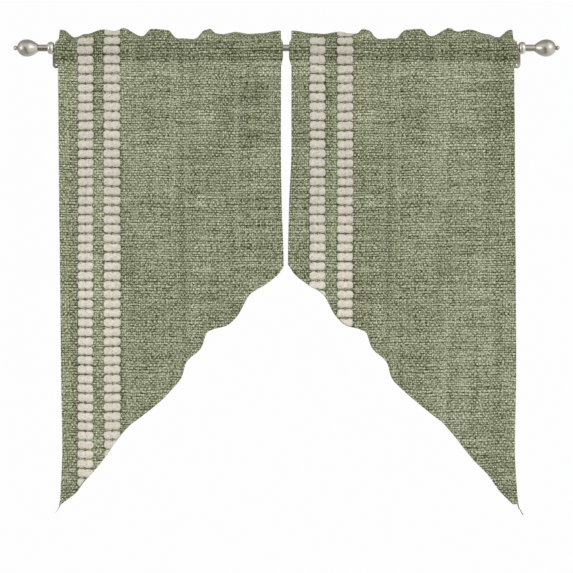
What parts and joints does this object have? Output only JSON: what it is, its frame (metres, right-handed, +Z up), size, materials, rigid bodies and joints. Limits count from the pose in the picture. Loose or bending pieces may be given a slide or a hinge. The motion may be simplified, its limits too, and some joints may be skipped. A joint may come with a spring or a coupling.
{
  "type": "swag valance pair on curtain rod",
  "caption": "Two gathered cloth swag panels with woven ladder stripes hang from a metal curtain rod on two wall brackets.",
  "frame": {"origin": "on the wall, halfway between the two brackets, level with the rod's axis", "axes": "+X along the rod, +Y towards the wall, +Z up; the room is on the -Y side"},
  "size_m": [1.287, 0.1001, 1.1465],
  "materials": {
    "nickel": "satin brushed nickel",
    "burlap": "slubby plain weave, matte",
    "yarn": "soft chunky cream yarn, matte"
  },
  "bodies": {
    "root": {"rod": "nickel", "finial_left": "nickel", "finial_right": "nickel", "bracket_left": "nickel", "bracket_right": "nickel", "panel_left": "burlap", "panel_right": "burlap"}
  },
  "joints": []
}
